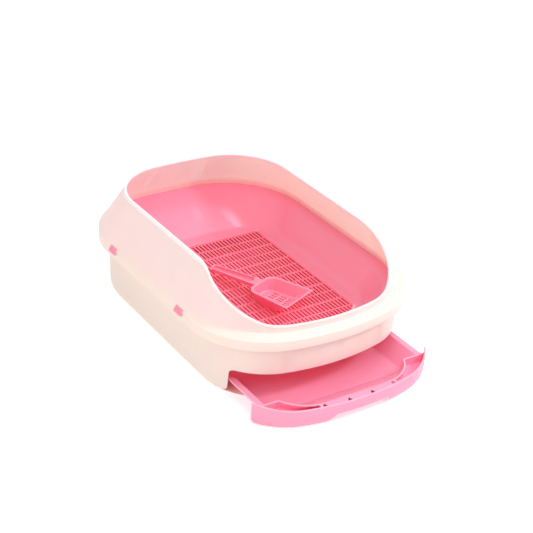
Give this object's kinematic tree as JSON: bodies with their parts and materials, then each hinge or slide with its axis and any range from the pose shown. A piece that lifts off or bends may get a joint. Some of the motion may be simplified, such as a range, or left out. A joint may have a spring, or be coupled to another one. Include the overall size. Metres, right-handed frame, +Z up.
{
  "type": "two-layer litter tray",
  "caption": "Oblong litter tray with a slotted sieve pan, a splash guard clipped to its rim, a drawer that slides out under the sieve and a slotted scoop.",
  "frame": {"origin": "on the floor under the middle of the base tub", "axes": "+Z up, -Y towards the low entry and the drawer, +X to the right seen from the front"},
  "size_m": [0.3732, 0.582, 0.179],
  "materials": {
    "cream_body": "satin moulded polypropylene, cream",
    "cream_guard": "satin moulded polypropylene, cream",
    "pink_pan": "satin moulded polypropylene, coral pink",
    "pink_grate": "satin moulded polypropylene, coral pink",
    "pink_drawer": "satin moulded polypropylene, coral pink",
    "pink_front": "satin moulded polypropylene, coral pink",
    "pink_scoop": "satin moulded polypropylene, coral pink",
    "pink_clip": "satin moulded polypropylene, coral pink"
  },
  "bodies": {
    "base": {"base_tub": "cream_body"},
    "drawer": {"drawer_tray": "pink_drawer", "drawer_front": "pink_front"},
    "tray": {"sieve_pan": "pink_pan", "sieve_grate": "pink_grate"},
    "guard": {"splash_guard": "cream_guard"},
    "scoop": {"litter_scoop": "pink_scoop"},
    "clip_left_rear": {"rim_clip_left_rear": "pink_clip"},
    "clip_left_front": {"rim_clip_left_front": "pink_clip"},
    "clip_right_rear": {"rim_clip_right_rear": "pink_clip"},
    "clip_right_front": {"rim_clip_right_front": "pink_clip"}
  },
  "joints": [
    {"name": "drawer_slide", "type": "slide", "parent": "base", "child": "drawer", "axis": [0, -1, 0], "range_m": [-0.069, 0.25]},
    {"name": "tray_lift", "type": "slide", "parent": "base", "child": "tray", "axis": [0, 0, 1], "range_m": [0, 0.15]},
    {"name": "guard_lift", "type": "slide", "parent": "tray", "child": "guard", "axis": [0, 0, 1], "range_m": [0, 0.15]},
    {"name": "scoop_lift", "type": "slide", "parent": "tray", "child": "scoop", "axis": [0, 0, 1], "range_m": [0, 0.15]},
    {"name": "clip_left_rear_hinge", "type": "hinge", "parent": "guard", "child": "clip_left_rear", "pos_m": [-0.1813, 0.103, 0.111], "axis": [0, 1, 0], "range_deg": [0, 80]},
    {"name": "clip_left_front_hinge", "type": "hinge", "parent": "guard", "child": "clip_left_front", "pos_m": [-0.1813, -0.103, 0.111], "axis": [0, 1, 0], "range_deg": [0, 80]},
    {"name": "clip_right_rear_hinge", "type": "hinge", "parent": "guard", "child": "clip_right_rear", "pos_m": [0.1813, 0.103, 0.111], "axis": [0, -1, 0], "range_deg": [0, 80]},
    {"name": "clip_right_front_hinge", "type": "hinge", "parent": "guard", "child": "clip_right_front", "pos_m": [0.1813, -0.103, 0.111], "axis": [0, -1, 0], "range_deg": [0, 80]}
  ]
}
